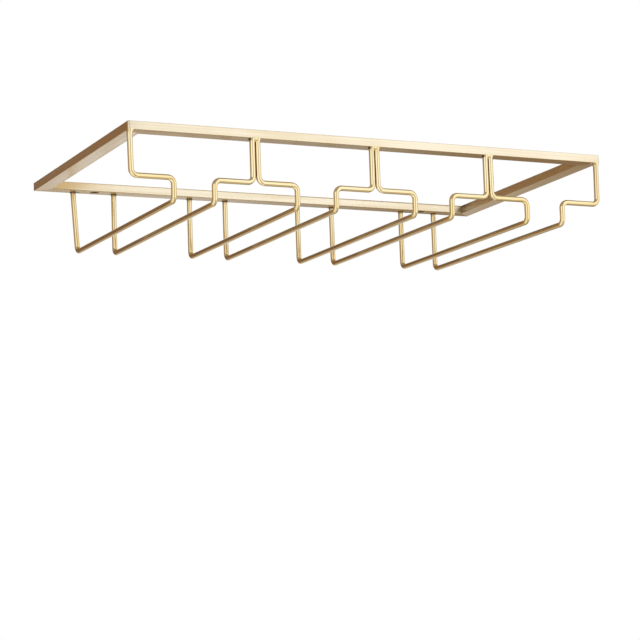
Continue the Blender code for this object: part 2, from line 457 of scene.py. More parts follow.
tone_group, given, result = new_group(
    "plating_tone",
    [
        ("Place", VECTOR), ("Streak", VALUE, 0.5), ("Heat", VALUE, 0.0), ("Deepen", VALUE, 0.0),
        ("Pale Gold", COLOUR), ("Deep Gold", COLOUR), ("Heated Gold", COLOUR),
    ],
    [("Colour", COLOUR), ("Dullness", VALUE)],
)
place = given["Place"]
drift = put(tone_group, "TexNoise", Vector=place, Scale=14.0, Detail=3.0, Roughness=0.55)
speck = put(tone_group, "TexNoise", Vector=place, Scale=900.0, Detail=2.0)
from_drift = sums(tone_group, "MULTIPLY", drift.outputs["Fac"], DRIFT_WEIGHT)
from_streak = sums(tone_group, "MULTIPLY", given["Streak"], STREAK_WEIGHT)
mixed = sums(tone_group, "ADD", from_drift, from_streak)
drifted = ease(tone_group, mixed, PALE_UP_TO, DEEP_FROM, 0.0, MOST_DRIFT)
# The extra deepening of the low wires is painted shade
share = sums(tone_group, "ADD", drifted, given["Deepen"])
gold = blend_colour(tone_group, share, given["Pale Gold"], given["Deep Gold"])
# The heated colour also stands for painted shade where the mesh marks it
with_heat_and_shade = blend_colour(tone_group, given["Heat"], gold, given["Heated Gold"])
dull = sums(tone_group, "MULTIPLY", speck.outputs["Fac"], SPECK_DULLNESS)
dull = sums(tone_group, "MULTIPLY_ADD", drifted, DRIFT_DULLNESS, dull)
fill(tone_group, result, Colour=with_heat_and_shade, Dullness=dull)
print("shader groups:", [g.name for g in bpy.data.node_groups])

# %% [markdown]
# ## Tubes
#
# Each side of the frame is a flat steel tube, 13.5 mm wide and 7 mm high, cut at 45 degrees
# at both ends. The corner welds are ground away, so the four sides read as one loop. Holes in
# the back tube show its hollow inside, so a box with a bevel won't do: a tube is two nested
# skins, joined at the mitres and through the holes. First comes the outline of its section.

# %% Tube profile
front_low, front_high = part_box("front_bar")
FRAME_WIDTH = cad_high.x - cad_low.x
FRAME_DEPTH = cad_high.y - cad_low.y
TUBE_WIDTH = front_high.y - front_low.y
TUBE_HEIGHT = front_high.z - front_low.z
WALL = 0.001
EDGE_RADIUS = 0.0005
INNER_EDGE_RADIUS = 0.0003
EDGE_STEPS = 6
# Half the side of the square that a hole is set in, and the cells across it
HOLE_PATCH = 0.0050
FLAT_CELLS = 8
PATCH_PLACES = np.linspace(-HOLE_PATCH, HOLE_PATCH, FLAT_CELLS + 1)
# Points this near an edge keep it crisp
SUPPORT = 0.00012
EDGE_BAND = 0.0008


def tube_profile(inset, radius):
    """Points (inward, up) round the tube's section, anticlockwise, set in from the outside.

    One half is an upright side, an arc, a level side and an arc, and the other is the same
    turned round. Both skins share the places across the patch, so holes line up.
    """
    half_width, half_height = TUBE_WIDTH / 2 - inset, TUBE_HEIGHT / 2 - inset
    edge = half_width - radius - SUPPORT
    across = np.array([-edge, *PATCH_PLACES, edge])
    near_edge = half_height - radius - np.array([SUPPORT, EDGE_BAND])
    upright = np.array([*-near_edge, 0, *near_edge[::-1]])
    arc = np.linspace(0, math.pi / 2, EDGE_STEPS + 1)
    bend = radius * join(np.cos(arc), np.sin(arc))
    half = np.concatenate([
        join(half_width, upright),
        bend + (half_width - radius, half_height - radius),
        join(across[::-1], half_height),
        bend[:, ::-1] * (-1, 1) + (radius - half_width, half_height - radius),
    ])
    return np.concatenate([half, -half]) + (TUBE_WIDTH / 2, -TUBE_HEIGHT / 2)


outer_profile = tube_profile(0.0, EDGE_RADIUS)
inner_profile = tube_profile(WALL, INNER_EDGE_RADIUS)
print("points round the tube:", len(outer_profile))

# %% [markdown]
# Heat has deepened the gold round each weld and at the ground corners. Under some tubes and
# along the edges the deeper, darker gold is painted shade, and the soot colour along the back
# tube's upper edges and in one inner corner is painted shade too. Round the rear posts the dark
# patch is partly soot from the torch and partly a painted contact shadow. Gold and soot are a
# number each on every point, from 0 to 1, and the finish mixes its colours by them. First come
# the places of the welds.

# %% Deeper gold and soot on the tubes
SLOT_COUNT = 4
WIRE_RADIUS = 0.00225
RAIL_SPACING = 0.0345
POST_INSET = 0.0008
SLOT_PITCH = (FRAME_WIDTH - 2 * WIRE_RADIUS) / SLOT_COUNT
POST_Y = FRAME_DEPTH / 2 - POST_INSET - WIRE_RADIUS
# How far each mark reaches, and how strong it is at most
WELD_REACH, WELD_TINT = 0.0055, 0.6
CORNER_REACH, CORNER_TINT = 0.022, 0.15
# The dark patch round each rear post is partly soot and partly a painted contact shadow
REAR_DARK_REACH, REAR_SOOT_AND_SHADE = 0.0033, 0.9
EDGE_LINE, EDGE_FADE = 0.0003, 0.0006
LOW_SIDE_FADE = 1.3 * EDGE_RADIUS
# The gold at an inner end reaches further at the top, by this much for each metre of height
INNER_END_REACH, INNER_END_SLANT = 0.045, 2.6
# Reach of the painted shade in the inner corner at a tube's end
INNER_SHADE_REACH = 0.016
# Where the lower side's deeper gold, a painted shade, is given, in tube lengths from the middle
MARK_STATIONS = (-0.5, -0.3, 0.0, 0.3, 0.5)


def slot_middle(slot):
    """X of a slot's middle; the left slot is number 0."""
    return (slot - (SLOT_COUNT - 1) / 2) * SLOT_PITCH


front_x = slot_middle(np.arange(SLOT_COUNT + 1) - 0.5)
rear_x = slot_middle(np.arange(SLOT_COUNT)) + [[-RAIL_SPACING / 2], [RAIL_SPACING / 2]]
rear_welds = join(rear_x.ravel(), POST_Y, -TUBE_HEIGHT)
all_welds = np.concatenate([join(front_x, -POST_Y, -TUBE_HEIGHT), rear_welds])
print("welds on the tubes:", len(all_welds))


def nearest(points, places):
    """Distance from each point to the nearest place."""
    return np.linalg.norm(points[:, None, :] - places[None, :, :], axis=2).min(axis=1)


def weld_marks(points, below):
    """Gold and soot, exp(-(distance / reach)^n) from the nearest weld or ground corner.

    The soot round the rear posts is partly a painted contact shadow.
    """
    x, y, _ = np.abs(points.T)
    from_corner = np.hypot(FRAME_WIDTH / 2 - x, FRAME_DEPTH / 2 - y)
    at_weld = WELD_TINT * below * np.exp(-(nearest(points, all_welds) / WELD_REACH) ** 2)
    gold = np.maximum(at_weld, CORNER_TINT * np.exp(-(from_corner / CORNER_REACH) ** 2))
    return gold, REAR_SOOT_AND_SHADE * below * np.exp(-(nearest(points, rear_welds) / REAR_DARK_REACH) ** 4)


def edge_mark(inward, up):
    """1 on the tube's edge line, falling to 0, by the distance from it in the section."""
    return fall(np.hypot(np.minimum(inward, TUBE_WIDTH - inward), up), EDGE_LINE, EDGE_FADE)


def side_marks(points, length, below, upper_edges=0, inner_end=0, top_line=0, corner_soot=0):
    """Gold and soot of a tube that still lies along X.

    Gold: below is at the stations of the lower side, upper_edges on both upper edges, and
    inner_end on the inner side at the tube's end; the gold on the lower side and on the edges is
    painted shade. Soot: top_line is on the upper edges at the tube's start, and corner_soot on
    the inner side at its end; both are painted shade.
    """
    x, inward, up = points.T
    low = fall(up, -TUBE_HEIGHT, LOW_SIDE_FADE)
    inner_side = rise(inward, TUBE_WIDTH - 2 * EDGE_RADIUS, EDGE_RADIUS)
    from_end = length / 2 - x
    inner_reach = INNER_END_REACH + INNER_END_SLANT * (up + TUBE_HEIGHT / 2)
    # Painted shade: deeper, darker gold on the lower side and along the edge lines
    gold = np.maximum.reduce([
        low * np.interp(x / length, MARK_STATIONS, below),
        low * edge_mark(inward, up + TUBE_HEIGHT),
        upper_edges * edge_mark(inward, up),
        inner_end * inner_side * np.exp(-(from_end / inner_reach) ** 4),
    ])
    # Painted shade: a dark line along the upper edges, strongest at the tube's start
    top_edge_shade_mask = top_line * edge_mark(inward, up) * fall(x / length, -0.5, 1)
    # Painted shade: the inner side is darkened in the corner at the tube's end
    soot_and_shade_share = corner_soot * inner_side * np.exp(-((from_end - TUBE_WIDTH) / INNER_SHADE_REACH) ** 2)
    return gold, np.maximum(top_edge_shade_mask, soot_and_shade_share)

# %% [markdown]
# The long skin is a grid: stations along the tube, profile points round it. At both ends a
# point further in is further back by as much, which is the mitre. The frame's outer corners
# are ground round, the front ones more, so the last rows follow an arc.

# %% Skin with mitred ends
ROW_STEP = 0.0012
FRONT_CORNER = 0.0016
REAR_CORNER = 0.0006
CORNER_STEPS = 6


def stations(length, holes):
    """Places along the tube: even steps, and a fine run over each hole."""
    end = length / 2 - TUBE_WIDTH - FRONT_CORNER - ROW_STEP / 2
    even = np.linspace(-end, end, int(2 * end / ROW_STEP) + 1)
    for x, _, _ in holes:
        # A station closer than a third of a step to the run would leave a sliver
        even = even[np.abs(even - x) > HOLE_PATCH + ROW_STEP / 3]
        even = np.concatenate([even, x + PATCH_PLACES])
    return np.unique(np.round(even, 7))


def tube_skin(profile, length, places, radii):
    """Points (station, profile point, xyz): outer side on Y = 0, mitres at both ends.

    Near an end a point at depth y is on an arc of radius R - y round the corner's middle, from
    45 degrees on the mitre to 90 degrees where the side is straight.
    """
    inward, up = profile.T
    x = np.repeat(places[:, None], len(profile), axis=1)
    off_mitre = np.linspace(0, 1, CORNER_STEPS + 1)[:, None]
    ends = [length / 2 - inward - radius * off_mitre for radius in radii]
    x = np.concatenate([-ends[0], x, ends[1][::-1]])
    from_end = length / 2 - np.abs(x)
    corner = np.where(x < 0, *radii)
    radius = np.maximum(corner - inward, TINY)
    arc = math.pi / 4 * (1 + (from_end - inward) / radius)
    bent = (inward < corner) & (from_end < corner)
    from_end = np.where(bent, corner - radius * np.cos(arc), from_end)
    y = np.where(bent, corner - radius * np.sin(arc), inward)
    return join(np.sign(x) * (length / 2 - from_end), y, up)


print("stations on a side tube:", len(stations(FRAME_DEPTH, ())))

# %% [markdown]
# Where a hole goes, the grid's square cells are left out, and rings of points lead from the
# square over a rounded rim, through the wall and to the same square of the other skin. A
# Boolean cut would be less work, but it leaves long thin faces that shade badly on metal.

# %% Holes through the wall
HOLE_RIM = 0.00025
RIM_STEPS = 4
# The last ring but one stops at this share of the wall, which keeps the inner edge crisp
ALMOST_THROUGH = 0.9
SAME_PLACE = 1e-6


def hole_border(grid, places, x, upper):
    """Indices of the grid's points round the square over a hole, and of the cells inside it."""
    count = grid.shape[1]
    first_row = CORNER_STEPS + 1 + np.argmin(np.abs(places - (x - HOLE_PATCH)))
    rows = first_row + np.arange(FLAT_CELLS + 1)
    _, y, z = grid[first_row].T
    on_side = np.abs(z - (z.max() if upper else z.min())) < SAME_PLACE
    columns = np.flatnonzero(on_side & (np.abs(y - TUBE_WIDTH / 2) < HOLE_PATCH + SAME_PLACE))
    columns = columns[np.argsort(y[columns])]
    index = rows[:, None] * count + columns
    border = np.concatenate([index[:-1, 0], index[-1, :-1], index[:0:-1, -1], index[0, :0:-1]])
    return border, np.minimum(index[:-1, :-1], index[:-1, 1:]).ravel()


def hole_rings(border_points, x, upper, radius):
    """Rings (ring, side, xyz) that lead from the square on the outer skin into the hole.

    Each point keeps its own direction from the hole's middle. The rim is a quarter round.
    """
    y = TUBE_WIDTH / 2
    ray = border_points[:, :2] - (x, y)
    far = np.linalg.norm(ray, axis=1)
    turn = np.linspace(0, math.pi / 2, RIM_STEPS + 1)
    reach = np.concatenate([radius + HOLE_RIM * (1 - np.sin(turn)), [radius, radius]])
    depth = np.concatenate([HOLE_RIM * (1 - np.cos(turn)), [WALL * ALMOST_THROUGH, WALL]])
    half_way = (far + radius + HOLE_RIM) / 2
    distance = np.vstack([half_way, np.repeat(reach[:, None], len(far), axis=1)])
    height = border_points[0, 2] + (-1 if upper else 1) * np.array([0, *depth])[:, None]
    unit_x, unit_y = ray.T / far
    return join(x + unit_x * distance, y + unit_y * distance, height)


def ladder(rings):
    """Four-sided faces between rows of point indices, where each row is a closed ring."""
    after = np.roll(rings, -1, axis=1)
    return join(rings[:-1], after[:-1], after[1:], rings[1:]).reshape(-1, 4)


print("points on a rim's arc:", RIM_STEPS + 1)

# %% [markdown]
# A whole tube is one closed mesh, as the metal is one piece: an outer skin, an inner one that
# faces the hollow, the rings through the holes, and a lip at each mitre.

# %% Tube with mitred ends and holes
def tube_form(length, radii, holes):
    """Points, faces and number of rows of a tube along X, its outer side on Y = 0."""
    places = stations(length, holes)
    outer = tube_skin(outer_profile, length, places, radii)
    inner = tube_skin(inner_profile, length, places, radii)
    rows, count = outer.shape[:2]
    first_inner = rows * count
    points = [outer.reshape(-1, 3), inner.reshape(-1, 3)]
    keep = np.ones((rows - 1) * count, dtype=bool)
    joins = []
    for x, upper, radius in holes:
        border, cells = hole_border(outer, places, x, upper)
        inner_border, _ = hole_border(inner, places, x, upper)
        keep[cells] = False
        rings = hole_rings(points[0][border], x, upper, radius)
        numbers = sum(map(len, points)) + np.arange(rings[..., 0].size).reshape(rings.shape[:2])
        joins.append(ladder(np.vstack([border, numbers, first_inner + inner_border])))
        points.append(rings.reshape(-1, 3))
    for row in (0, rows - 1):
        rim = row * count + np.arange(count)
        joins.append(ladder(np.stack([rim, first_inner + rim])))
    faces = skin(rows, count)[keep]
    faces = np.concatenate([faces, first_inner + faces[:, ::-1], *joins])
    return np.concatenate(points), faces, rows


print("faces of a side tube:", len(tube_form(FRAME_DEPTH, (REAR_CORNER, FRONT_CORNER), ())[1]))

# %% [markdown]
# The frame's four tubes, each made lying along X and turned to its side. The back one has an
# 8 mm hole below and a 4.5 mm hole above over each end slot: the screw's head goes in through
# the wide one and seats on the upper wall.

# %% The four tubes
SHARP_ANGLE = math.radians(40)
HOLE_FROM_END = 0.0535
# Is it in the upper wall, and radius: the driver's hole and the screw's
HOLE_PAIR = ((False, 0.004), (True, 0.00225))


def close_and_face_out(piece):
    """Turn a closed mesh's faces outwards, count open edges, and keep sharp edges sharp."""
    form = bmesh.new()
    form.from_mesh(piece.data)
    bmesh.ops.recalc_face_normals(form, faces=form.faces)
    open_edges = sum(len(edge.link_faces) != 2 for edge in form.edges)
    volume = form.calc_volume() * 1e6
    form.to_mesh(piece.data)
    form.free()
    piece.data.set_sharp_from_angle(angle=SHARP_ANGLE)
    faces = len(piece.data.polygons)
    print(f"{piece.name}: {faces} faces, {open_edges} open edges, {volume:.2f} cm3")
    return piece


def make_tube(turns, name, length, outward, radii, holes, marks):
    """One side of the frame. Holes are (x, is it in the upper wall, radius)."""
    points, faces, rows = tube_form(length, radii, holes)
    below = fall(points[:, 2], -TUBE_HEIGHT, EDGE_RADIUS)
    turned = points @ np.array(Matrix.Rotation(math.radians(90) * turns, 3, "Z")).T + outward
    # Gold and soot both carry painted shade, besides the heat tint and the soot at the rear posts
    gold, soot_and_shade_share = np.maximum(side_marks(points, length, **marks), weld_marks(turned, below))
    # U: metres along the tube. V: metres round it, or Y in the holes.
    uv = points[:, :2] + (turns * length, 0)
    girth = np.tile(run_lengths(outer_profile), 2 * rows)
    uv[:len(girth), 1] = girth
    return close_and_face_out(make_piece(name, turned, faces, uv, weld_tint=gold, scorch=soot_and_shade_share))


hole_x = FRAME_WIDTH / 2 - HOLE_FROM_END
screw_holes = [(x, *hole) for x in (-hole_x, hole_x) for hole in HOLE_PAIR]
# Name, length, place of the outer side, corner at start and end, holes and marks. Each side
# is turned a quarter more than the last.
# Of the marks, below, upper_edges, top_line and corner_soot paint shade on the tubes
SIDES = (
    ("front", FRAME_WIDTH, (0, -FRAME_DEPTH / 2, 0), (FRONT_CORNER, FRONT_CORNER), (),
     {"below": (1.0, 0.80, 0.28, 0.90, 1.0), "upper_edges": 0.15}),
    ("right", FRAME_DEPTH, (FRAME_WIDTH / 2, 0, 0), (FRONT_CORNER, REAR_CORNER), (),
     {"below": (1.0, 0.50, 0.25, 0.20, 0.20), "upper_edges": 0.3, "corner_soot": 0.9}),
    ("back", FRAME_WIDTH, (0, FRAME_DEPTH / 2, 0), (REAR_CORNER, REAR_CORNER), screw_holes,
     {"below": (0.55,) * 5, "upper_edges": 1.0, "inner_end": 0.88, "top_line": 0.9}),
    ("left", FRAME_DEPTH, (-FRAME_WIDTH / 2, 0, 0), (REAR_CORNER, FRONT_CORNER), (),
     {"below": (0.0,) * 5, "upper_edges": 0.3}),
)
tubes = {
    side + "_bar": make_tube(turns, side + "_tube", *numbers)
    for turns, (side, *numbers) in enumerate(SIDES)
}

# %% [markdown]
# ## Wires
#
# Every rail is one length of 4.5 mm wire: a post down from the front tube, a step in towards
# the slot, a short drop, the long rail, and a post up to the back tube. Its centre line is
# straight runs joined by arcs of one radius, as a bending jig makes them.
#
# An end wire stands in line with the frame's side, so its step is longer, and it leans a
# little. The others touch the next slot's wire at the top and spring a hair apart at the foot.
# The rack's left rear post was welded with its top out of plumb.

# %% Centre line of a wire
WINDOW_HEIGHT = 0.0335
LIP_HEIGHT = 0.0185
RAIL_RISE = 0.0015
STEP_Z = -TUBE_HEIGHT - WINDOW_HEIGHT - WIRE_RADIUS
RAIL_Z = STEP_Z - LIP_HEIGHT
# How far the wire's ends reach up into the tube or its wall
BURIED_FRONT, BURIED_REAR = 0.0022, 0.0004
TOP_GAP, FOOT_GAP = 0.00005, 0.00022
FRONT_POST_LEAN, END_POST_LEAN = 0.0007, 0.0033
BEND_RADIUS = 0.005
BEND_STEPS = 14
# Spacing of the points on front post, step, drop, rail and rear post: close at the welds
RUN_SPACINGS = (0.00035, 0.004, 0.003, 0.010, 0.00035)


def unit(vector):
    """The vector at length 1."""
    return vector / np.linalg.norm(vector)


def bent_line(corners):
    """Points and directions along straight runs that turn each corner on an arc.

    The arc starts radius * tan(half the turn) before the corner. Its point at angle a is
    start + radius * (sin a * arriving + (1 - cos a) * inward).
    """
    points, headings = [], []
    begin = corners[0]
    for i, spacing in enumerate(RUN_SPACINGS, start=1):
        end, heading = corners[i], unit(corners[i] - corners[i - 1])
        turns = i < len(corners) - 1
        if turns:
            leaving = unit(corners[i + 1] - corners[i])
            turn = math.acos(np.clip(heading @ leaving, -1, 1))
            end = corners[i] - heading * BEND_RADIUS * math.tan(turn / 2)
        steps = max(2, int(np.linalg.norm(end - begin) / spacing))
        share = np.linspace(0, 1, steps + 1)[:, None]
        points.append(begin + (end - begin) * share)
        headings.append(np.repeat(heading[None, :], steps + 1, axis=0))
        if turns:
            inward = unit(leaving - heading * (heading @ leaving))
            angle = np.linspace(0, turn, BEND_STEPS + 1)[1:, None]
            arc = end + BEND_RADIUS * (np.sin(angle) * heading + (1 - np.cos(angle)) * inward)
            points.append(arc[:-1])
            headings.append((np.cos(angle) * heading + np.sin(angle) * inward)[:-1])
            begin = arc[-1]
    return np.concatenate(points), np.concatenate(headings)


def wire_corners(slot, side, in_pair):
    """Six corners, from inside the front tube to inside the back one."""
    edge = slot_middle(slot) + side * SLOT_PITCH / 2
    rail_x = slot_middle(slot) + side * RAIL_SPACING / 2
    top_x, foot_x = edge, edge - side * FRONT_POST_LEAN
    if in_pair:
        top_x = edge - side * (WIRE_RADIUS + TOP_GAP)
        foot_x = edge - side * (WIRE_RADIUS + FOOT_GAP)
    lean = END_POST_LEAN if (slot, side) == (0, -1) else 0.0
    return np.array([
        (top_x, -POST_Y, -TUBE_HEIGHT + BURIED_FRONT),
        (foot_x, -POST_Y, STEP_Z),
        (rail_x, -POST_Y, STEP_Z),
        (rail_x, -POST_Y, RAIL_Z),
        (rail_x, POST_Y, RAIL_Z + RAIL_RISE),
        (rail_x - lean, POST_Y, -TUBE_HEIGHT + BURIED_REAR),
    ])


print("step at", round(STEP_Z, 5), "and rail at", round(RAIL_Z, 5))

# %% [markdown]
# At the front the wire stands just behind the tube's face, and the weld brings it flush: a low
# blob climbs over the face's lower edge, and on the slot's side of an end wire a curved fillet
# runs out under the tube. One rule makes all this: a ring has four half-widths, towards the
# slot, the next wire, the front and the back, and an exponent. With equal half-widths and
# exponent 2 it is the plain round wire, and near the tube it grows to a blunt collar.

# %% Half-widths of a ring in its weld
# Width and height of the fillet on the slot's side, and how far the weld climbs the face
PAIR_WELD = (0.0009, 0.0017, 0.0008)
LEFT_END_WELD = (0.0030, 0.0054, 0.0013)
RIGHT_END_WELD = (0.0031, 0.0036, 0.0013)
# Width and height of the small fillets behind a front post and round a rear one
BACK_FILLET = (0.0013, 0.0022)
REAR_FILLET = (0.0008, 0.0013)
# Share of the half-width that is left where the blob closes at its top
BLOB_TOP_SHARE = 0.45
# How far the blob stands proud of the face, and how far its top sinks behind it
PROUD = 0.00016
SINK, SINK_RUN = 0.0006, 0.0003
BLUNTNESS = 0.6


def fillet(depth, height):
    """Hollow quarter curve from 1 at depth 0 to 0 at depth = height, level with both walls."""
    v = np.clip(1 - depth / height, 0, 1)
    return 1 - np.sqrt(1 - v * v)


def dome(depth, height, top_share=0.0):
    """Quarter round that closes upwards: 1 at and below depth 0, top_share at height above it."""
    open_share = np.sqrt(np.clip(1 - (np.minimum(depth, 0) / height) ** 2, 0, 1))
    return top_share + (1 - top_share) * open_share


def front_weld(depth, slot_width, slot_height, climb):
    """Half-widths (slot, mate, front, back) and exponent, by depth below the tube."""
    mate = WIRE_RADIUS * dome(depth, climb, BLOB_TOP_SHARE)
    to_slot = mate + slot_width * fillet(depth, slot_height) * dome(depth, climb)
    proud = PROUD * dome(depth, climb) * fall(depth, start=0, run=0.0020)
    flush = POST_INSET * fall(depth, start=0.0002, run=0.0034)
    front = WIRE_RADIUS + flush + proud - SINK * rise(-depth, climb, SINK_RUN)
    back = WIRE_RADIUS + BACK_FILLET[0] * fillet(depth, BACK_FILLET[1])
    return to_slot, mate, front, back, 2 + BLUNTNESS * fall(depth, start=0.0006, run=0.0024)


print("fillets under the end welds:", LEFT_END_WELD[0], RIGHT_END_WELD[0])

# %% [markdown]
# A wire is rings of points round its centre line. A ring's first direction points right and
# its second one back on the posts at the front, so that a weld's flat side stays in the face.
# Along the rail the first stays level, so that the wire doesn't twist.

# %% Rings round a line
RING_SIDES = 36
RING_ANGLES = np.arange(RING_SIDES) * math.tau / RING_SIDES


def ring_spokes(line, heading):
    """Unit vectors (ring, side, xyz) across the line: cos a * first + sin a * second."""
    on_front = (np.arange(len(line)) < np.argmax(line[:, 2] < (STEP_Z + RAIL_Z) / 2))[:, None]
    axis_y = (0.0, 1.0, 0.0)
    across = (1.0, 0.0, 0.0) - heading * heading[:, :1]
    across = across / np.maximum(np.linalg.norm(across, axis=1, keepdims=True), TINY)
    first = np.where(on_front, np.cross(heading, axis_y), across)
    second = np.where(on_front, axis_y, np.cross(across, heading))
    c, s = np.cos(RING_ANGLES)[:, None], np.sin(RING_ANGLES)[:, None]
    return c * first[:, None, :] + s * second[:, None, :]


def ring_reach(halves, exponent):
    """Distance from the centre line at each angle from the ring's first direction, its X.

    Superellipse: (|cos a| / half-width X)^n + (|sin a| / half-width Y)^n = distance^-n,
    with its own half-width on each of the four sides, given as +X, -X, +Y, -Y.
    """
    plus_x, minus_x, plus_y, minus_y, n = (h[:, None] for h in (*halves, exponent))
    c, s = np.cos(RING_ANGLES), np.sin(RING_ANGLES)
    share_x = np.abs(c) / np.where(c > 0, plus_x, minus_x)
    share_y = np.abs(s) / np.where(s > 0, plus_y, minus_y)
    return (share_x ** n + share_y ** n) ** (-1 / n)


def ring_piece(name, line, spokes, reach, along, marks):
    """Closed piece of rings with fans as ends; marks hold one value per ring and side."""
    grid = line[:, None, :] + reach[:, :, None] * spokes
    points = np.concatenate([grid.reshape(-1, 3), line[[0, -1]]])
    rims = np.arange(reach.size).reshape(reach.shape)[[0, -1]]
    faces = [*skin(*reach.shape), *fan(reach.size, rims[0]), *fan(reach.size + 1, rims[1])]
    uv = join(along[:, None], RING_ANGLES * WIRE_RADIUS).reshape(-1, 2)
    uv = np.vstack([uv, np.zeros((2, 2))])
    # Each end point takes the value of one beside it
    marks = {title: np.append(values, values[[0, -1], 0]) for title, values in marks.items()}
    return close_and_face_out(make_piece(name, points, faces, uv, **marks))


print("sides of a ring:", RING_SIDES)

# %% [markdown]
# Heat has deepened the wires' gold at the welds. Deeper gold down the rear posts and on the post
# at the rack's right end is painted shade. The groove between two posts is darkened with painted
# shade down to the bends, most under the arch of the weld. Painted shade darkens the hollow corner
# of each front weld, and the dark ring at each rear post's top is partly soot and partly a painted
# contact shadow. The rails are painted greyer and darker as shade, most on top.

# %% Marks on a wire
# Depth below the tube for every point that isn't on a post
FAR_BELOW = 1.0
# Strengths of the heated gold at the front welds, of the painted shade on the posts, and of the
# painted shade under a pair's arch and in a weld's hollow corner
FRONT_TINT, POST_SHADE = 0.3, 0.6
ARCH_SHADE, FILLET_SHADE, FAINT_FILLET_SHADE = 0.6, 1.0, 0.45
# Depth below the tube that the painted shade in a weld's corner reaches, for a left and a right
# wire
FILLET_SHADE_DEPTH = {-1: 0.0022, 1: 0.0012}
# The rails' painted shade stops this far before the rail's ends, and is weakest below
RAIL_SHADE_MARGIN, LEAST_RAIL_SHADE = 0.004, 0.4


def post_depths(line):
    """Depth below the tube, once for the front post and once for the rear one."""
    _, y, z = line.T
    high = z > STEP_Z / 2
    return [np.where(high & here, -TUBE_HEIGHT - z, FAR_BELOW) for here in (y < 0, y > 0)]


def wire_marks(line, up, side, in_pair, foot_x):
    """Marks per ring and side: what a ring has, times how much a side faces the right way."""
    x, y, z = line.T[:, :, None]
    front_depth, rear_depth = (depth[:, None] for depth in post_depths(line))
    to_slot = -side * np.cos(RING_ANGLES)
    faces_mate = rise(-to_slot, start=0.78, run=0.14)
    faces_slot = rise(to_slot, start=0.10, run=0.70)
    faces_up = rise(up, start=-5 / 6, run=5 / 3)
    tint_and_shade = np.maximum.reduce([
        FRONT_TINT * fall(front_depth, start=0.001, run=0.004),
        fall(rear_depth, start=0, run=0.0028),
        # Painted shade: deeper gold down the rear posts and on the post at the rack's right end
        POST_SHADE * rise(y, POST_Y - BEND_RADIUS, BEND_RADIUS),
        POST_SHADE * (np.abs(x - FRAME_WIDTH / 2) < 2 * BEND_RADIUS),
    ])
    paired = in_pair & (np.abs(x - foot_x) < BEND_RADIUS / 2) & (y < 0) & (z > STEP_Z)
    depth = -TUBE_HEIGHT - z
    # Painted shade at the top of the groove, under the arch of a pair's weld
    arch_shade = ARCH_SHADE * paired * fall(depth, start=0.0050, run=0.0030) * faces_mate
    # Painted shade in the hollow corner of each front weld, on the slot's side
    strength = FILLET_SHADE if in_pair and side > 0 else FAINT_FILLET_SHADE
    fillet_shade = strength * fall(front_depth, FILLET_SHADE_DEPTH[side], run=0.0008) * faces_slot
    fillet_shade = fillet_shade * rise(front_depth, start=-0.0004, run=0.0003)
    # Painted shade on the rails, greyer and darker, most on their upper side
    rail_shade_along = rise(POST_Y - RAIL_SHADE_MARGIN - np.abs(y), start=0, run=0.010)
    return {
        "weld_tint": np.broadcast_to(tint_and_shade, up.shape),
        # Painted shade in the groove between two posts, down to the bends
        "groove_shade": paired * fall(depth, start=0.0290, run=0.0045) * faces_mate,
        # Painted shade in a weld's corner and under the arch; at a rear post's top partly soot,
        # partly painted contact shadow
        "scorch": np.maximum(np.maximum(fillet_shade, arch_shade), fall(rear_depth, start=0.0008, run=0.0008)),
        "rail_shade": rail_shade_along * (LEAST_RAIL_SHADE + (1 - LEAST_RAIL_SHADE) * faces_up),
    }


# Strength of the painted shade in a weld's hollow corner, faint or strong
print("scorch in a weld's corner:", FAINT_FILLET_SHADE, "or", FILLET_SHADE)

# %% [markdown]
# Eight wires, two to a slot, the left and right ones mirrored. Each takes its own stretch of
# the UV map, so no two show the same brushed lines.

# %% The eight wires
UV_OFFSET = 0.7


def make_wire(name, slot, side):
    """One bent wire with both welds; side is -1 for a slot's left rail and 1 for its right."""
    in_pair = (slot, side) not in ((0, -1), (SLOT_COUNT - 1, 1))
    corners = wire_corners(slot, side, in_pair)
    line, heading = bent_line(corners)
    spokes = ring_spokes(line, heading)
    front_depth, rear_depth = post_depths(line)
    weld = PAIR_WELD if in_pair else LEFT_END_WELD if side < 0 else RIGHT_END_WELD
    slot_half, mate_half, front, back, exponent = front_weld(front_depth, *weld)
    across = (slot_half, mate_half) if side < 0 else (mate_half, slot_half)
    reach = ring_reach((*across, back, front), exponent)
    # Round a rear post the weld is a small even collar
    collar = WIRE_RADIUS + REAR_FILLET[0] * fillet(rear_depth, REAR_FILLET[1])
    reach = np.where((rear_depth < FAR_BELOW)[:, None], collar[:, None], reach)
    marks = wire_marks(line, spokes[:, :, 2], side, in_pair, corners[1, 0])
    along = run_lengths(line) + UV_OFFSET * (2 * slot + side)
    return ring_piece(name, line, spokes, reach, along, marks)


wires = {}
for slot in range(SLOT_COUNT):
    for side, title in ((-1, "left"), (1, "right")):
        label = f"slot_{slot + 1}_{title}"
        wires[label + "_rail"] = make_wire(label + "_wire", slot, side)

# %% [markdown]
# Between the two posts of a pair the weld fills the groove down to a small arch. The filling
# is a piece of its own, of rings from crest to crest of the two wires. At the tube its front
# is flush with the face, and lower down it sinks into the groove.

# %% Weld metal between two posts
BRIDGE_ROWS = 28
BRIDGE_CLIMB = 0.0009
BRIDGE_DROP = 0.0038
# Above the climb the rings go on inside the tube, and close to this share of the half-width
BRIDGE_OVERRUN, BRIDGE_TOP_SHARE = 0.0006, 0.25
BRIDGE_PROUD, BRIDGE_BURIED = 0.00012, 0.0008
# Depth to which the front stays flush, and the share of its reach that is lost at the drop
BRIDGE_LEVEL, BRIDGE_SINK = 0.0009, 0.97
BRIDGE_BLUNTNESS, BRIDGE_TINT = 3, 0.2


